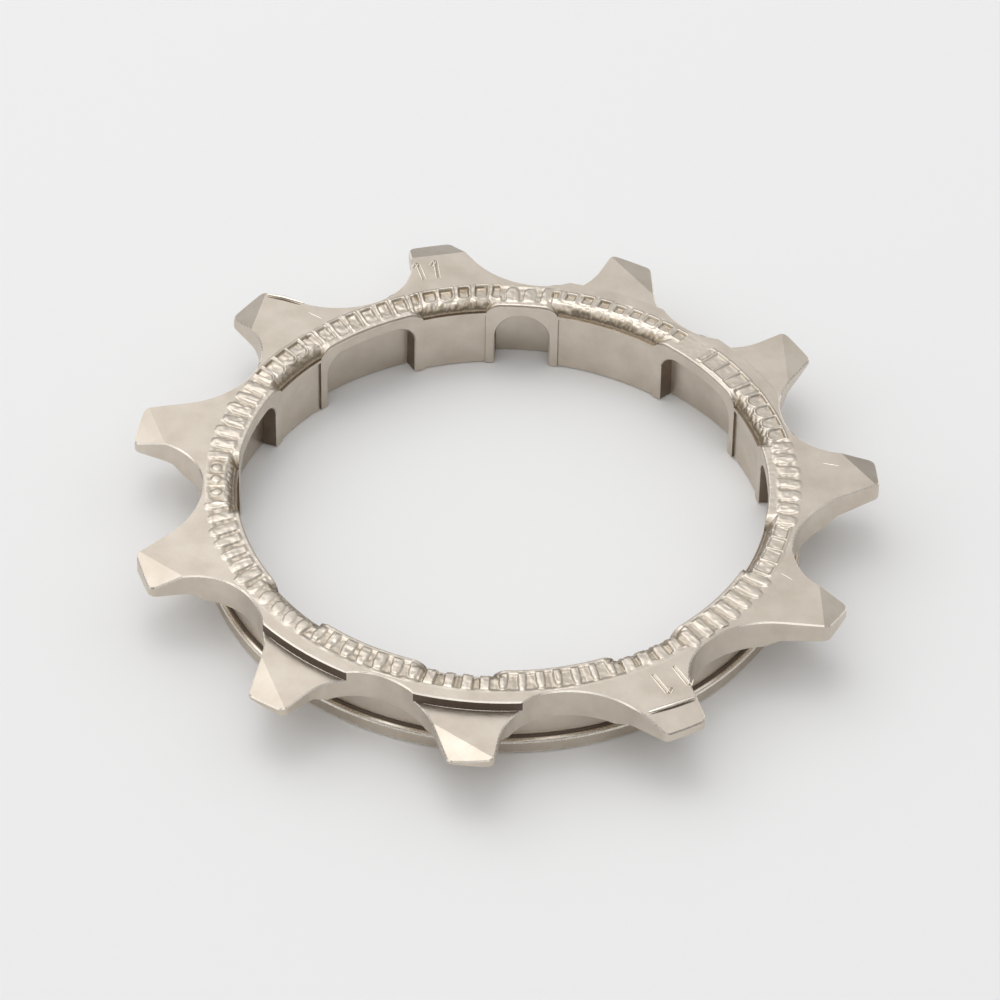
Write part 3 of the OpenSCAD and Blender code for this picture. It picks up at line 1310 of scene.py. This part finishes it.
def painted_highlight_beads(forged: ForgedBody) -> list[Sliver]:
    """List the raised beads, which wear the painted highlight: burr, ridge, scratches, step edges
    and lips of the strokes.

    Args:
        forged: Body whose strokes the lips follow.

    Returns:
        The beads.
    """
    beads = [
        Sliver(
            "flank_burr",
            over(11, [(1.03, 23.1, 5.05), (1.66, 22.05, 5.07), (2.24, 20.75, 5.05)]),
            0.24,
            0.18,
        ),
        Sliver(
            "ridge_bead",
            over(6, [(1.5, 21.8, 5.04), (0.0, 21.9, 5.05), (-1.72, 21.94, 5.04)]),
            0.28,
            0.2,
        ),
        Sliver("scratch_11", over(11, [(1.84, 19.99, TOP), (2.06, 18.9, TOP)]), 0.09, 0.06),
        Sliver("scratch_5", over(5, [(-1.57, 18.75, TOP), (-1.4, 19.7, TOP)]), 0.08, 0.05),
        Sliver("scratch_4", over(4, [(-0.93, 20.04, TOP), (-0.61, 21.14, TOP)]), 0.08, 0.05),
    ]
    step_r, step_z = 19.37, TOP - 0.68
    for tooth, first, last in ((7, -3.1, 3.1), (8, -3.0, 3.1)):
        line = [
            (across, math.sqrt(step_r**2 - across**2), step_z)
            for across in np.linspace(first, last, 9)
        ]
        beads.append(Sliver(f"step_edge_{tooth}", over(tooth, line), 0.11, 0.03))
    beside, raised = 0.035, 0.01
    for i, mark in enumerate(forged.marks):
        run = np.array(mark.end) - np.array(mark.start)
        side = np.array([-run[1], run[0]]) / np.hypot(*run) * (mark.width / 2 + beside)
        for j, sign in enumerate((1, -1)):
            line = [
                (*(np.array(mark.start) + run * t + sign * side), TOP + raised)
                for t in (0.0, 0.5, 1.0)
            ]
            name = f"stroke_lip_{i + 1}_{j + 1}"
            beads.append(Sliver(name, over(mark.tooth, line), 0.11, 0.07))
    return beads


def painted_shade_slivers() -> list[Sliver]:
    """List the thin dark brown slivers of painted shade beside the burr and the ridge bead."""
    return [
        Sliver(
            "burr_painted_shade",
            over(11, [(0.88, 22.95, 5.03), (1.46, 21.95, 5.03), (2.0, 20.75, 5.03)]),
            0.14,
            0.06,
        ),
        Sliver(
            "bead_painted_shade",
            over(6, [(1.45, 21.97, 4.98), (0.0, 22.07, 4.99), (-1.6, 22.11, 4.98)]),
            0.08,
            0.06,
        ),
    ]


@dataclass(frozen=True)
class CornerPaintedShade:
    """Painted shade: a dark brown roll in the corner between the neck and the flange.

    Attributes:
        name: Name of the piece.
        radius: Radius of the neck.
        height: Height of the flange's top.
        thickness: Radius of its round section.
    """

    name: str = "corner_painted_shade"
    radius: float = 18.3
    height: float = 1.1
    thickness: float = 0.14

    def build(self) -> Piece:
        """Lay the painted shade.

        Returns:
            The finished object.
        """
        deselect_all()
        bpy.ops.mesh.primitive_torus_add(
            major_radius=self.radius,
            minor_radius=self.thickness,
            major_segments=180,
            minor_segments=10,
            location=(0, 0, self.height),
        )
        made = bpy.context.object
        made.name = self.name
        settle(made)
        shade_round(made)
        return made


# Studio


@dataclass(frozen=True)
class Studio:
    """Pale paper, soft light from above and behind, and the camera.

    Attributes:
        azimuth: Bearing of the camera from its target, in degrees.
        elevation: Height of the camera over the table, in degrees.
        roll: Turn of the camera about its own axis, in degrees.
        distance: Millimetres from the target.
        target: Point on the table that the camera looks at, in millimetres.
        lens: Focal length in millimetres.
        sensor: Width of the picture behind that lens, in millimetres.
        paper_side: Side of the paper in metres.
        paper_drop: Millimetres from the cog's seat down to the paper.
    """

    azimuth: float = -101.61
    elevation: float = 43.413
    roll: float = 0.8875
    distance: float = 371.79
    target: Point = (0.5909, 3.5859)
    lens: float = 211.457
    sensor: float = 36.0
    paper_side: float = 4.0
    paper_drop: float = 0.02

    def build(self) -> None:
        """Make the camera, the paper and the light."""
        self._camera()
        self._paper()
        self._lamp(
            "soft_back_left", bearing=120.0, height=57.0, away=0.42, size=0.36, watts=0.3
        )
        self._room()
        bpy.context.scene.view_settings.view_transform = "Standard"

    def _camera(self) -> None:
        """Place the camera."""
        az, roll = math.radians(self.azimuth), math.radians(self.roll)
        back = direction(self.azimuth, self.elevation)
        right = Vector((-math.sin(az), math.cos(az), 0))
        up = back.cross(right)
        x = math.cos(roll) * right + math.sin(roll) * up
        y = -math.sin(roll) * right + math.cos(roll) * up
        place = Vector((*self.target, 0)) + self.distance * back
        data = bpy.data.cameras.new("camera")
        data.lens = self.lens
        data.sensor_width = self.sensor
        data.clip_start, data.clip_end = 0.01, 10.0
        camera = bpy.data.objects.new("camera", data)
        bpy.context.scene.collection.objects.link(camera)
        turn = Matrix((x, y, back)).transposed().to_4x4()
        camera.matrix_world = Matrix.Translation(place * MM) @ turn
        bpy.context.scene.camera = camera

    def _paper(self) -> None:
        """Lay the paper under the cog."""
        deselect_all()
        bpy.ops.mesh.primitive_plane_add(
            size=self.paper_side, location=(0, 0, -self.paper_drop * MM)
        )
        paper = bpy.context.object
        paper.name = "paper"
        paper.data.materials.append(MattePaper().build())

    def _lamp(
        self, name: str, bearing: float, height: float, away: float, size: float, watts: float
    ) -> None:
        """Hang one square soft light that looks at the cog.

        Args:
            name: Name of the lamp.
            bearing: Its bearing in degrees.
            height: Its elevation in degrees.
            away: Distance in metres.
            size: Side in metres.
            watts: Power.
        """
        back = direction(bearing, height)
        data = bpy.data.lights.new(name, "AREA")
        data.shape = "SQUARE"
        data.size = size
        data.energy = watts
        lamp = bpy.data.objects.new(name, data)
        bpy.context.scene.collection.objects.link(lamp)
        lamp.location = back * away
        lamp.rotation_mode = "QUATERNION"
        lamp.rotation_quaternion = back.to_track_quat("Z", "Y")

    def _patch(
        self, tree: Tree, way: Socket, middle: Vector, span: Span, result: Span
    ) -> Socket:
        """Make a round patch of the room, brighter or darker than the rest.

        Args:
            tree: Node tree of the room.
            way: Direction of the look.
            middle: Direction of the patch.
            span: Cosines of the angles from its middle at its border and at its core.
            result: Level outside the border and in the core.

        Returns:
            The output socket.
        """
        settings = {"operation": "DOT_PRODUCT", 1: middle}
        facing = add_node(tree, "ShaderNodeVectorMath", settings, {0: way})
        return remap(tree, facing.outputs["Value"], span, result, "SMOOTHSTEP")

    def _room(self) -> None:
        """Give the room its light.

        It is dim at the horizon and brighter above, and darkest low behind the camera.
        Bright patches lie overhead, high behind the camera and low on the left.
        """
        world = bpy.data.worlds.new("room")
        bpy.context.scene.world = world
        world.use_nodes = True
        tree = world.node_tree
        tree.nodes.clear()
        way = add_node(tree, "ShaderNodeTexCoord").outputs["Generated"]
        split = add_node(tree, "ShaderNodeSeparateXYZ", links={"Vector": way})
        level = remap(tree, split.outputs["Z"], (0.0, 0.6), (0.25, 0.77), "SMOOTHSTEP")
        for kind, bearing, height, span, result in (
            ("MULTIPLY", self.azimuth, 20.0, (0.0, 0.9), (1.0, 0.4)),
            ("ADD", 90.0, 80.0, (0.95, 0.99), (0.0, 1.5)),
            ("ADD", -105.0, 57.0, (0.8, 0.98), (0.0, 0.75)),
            ("ADD", 185.0, 30.0, (0.88, 0.97), (0.0, 0.6)),
        ):
            patch = self._patch(tree, way, direction(bearing, height), span, result)
            level = add_node(
                tree, "ShaderNodeMath", {"operation": kind}, {0: level, 1: patch}
            ).outputs["Value"]
        white = {"Color": (1.0, 1.0, 1.0, 1.0)}
        room = add_node(tree, "ShaderNodeBackground", white, {"Strength": level})
        surface = {"Surface": room.outputs["Background"]}
        add_node(tree, "ShaderNodeOutputWorld", links=surface)


# Assembly


def dress(obj: Piece, *materials: Material) -> None:
    """Give a piece its finishes and let it ride on the cog.

    Args:
        obj: The piece.
        *materials: Its finishes, in the order of its material slots.
    """
    to_metres(obj)
    for i, material in enumerate(materials):
        if i < len(obj.data.materials):
            obj.data.materials[i] = material
        else:
            obj.data.materials.append(material)
    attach(obj, "root")
    log.info("%s: %d faces", obj.name, len(obj.data.polygons))


def main() -> None:
    """Build the cog and its studio."""
    logging.basicConfig(level=logging.INFO, format="%(name)s: %(message)s")
    Studio().build()
    plate = NickelPlate("nickel_plated_forged_steel").build()
    # Ring plate whose tint is brown scale and painted shade on the shoulder, and painted shade in
    # the hollows
    pressed = NickelPlate(
        "nickel_plated_pressed_ring",
        pale="#DFD5C8",
        deep="#D1C7BA",
        roughness=0.33,
        wave_depth_mm=0.004,
    ).build(tint="#A3937B")
    # Dark brown: painted shade for the creases and the corner, oxide and painted shade for the
    # step walls
    scale = BrownScaleAndShade("brown_scale_and_painted_shade").build()
    forged = ForgedBody()
    body = forged.build()
    # Paler, glossier plate: painted highlight on the broken edges and the raised beads
    highlight_plate = NickelPlate(
        "nickel_plate_painted_edge_highlight",
        pale="#FFF8EC",
        deep="#F8EEE0",
        roughness=0.26,
    ).build()
    # Dark plate: painted shade on the sides and ceilings of the spline slots
    slot_shade_plate = NickelPlate(
        "nickel_plate_painted_shade_in_slots",
        pale="#8F8173",
        deep="#7A6D60",
        roughness=0.42,
    ).build()
    dress(body, plate, scale, highlight_plate, slot_shade_plate)
    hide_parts("cog")
    dress(SerratedRing().build(), pressed)
    # The beads wear the painted highlight
    for bead in painted_highlight_beads(forged):
        dress(bead.build(), highlight_plate)
    # Painted shade beside the burr and the ridge bead
    for shade_sliver in painted_shade_slivers():
        dress(shade_sliver.build(), scale)
    # Painted shade in the corner between the neck and the flange
    dress(CornerPaintedShade().build(), scale)


if __name__ == "__main__":
    main()
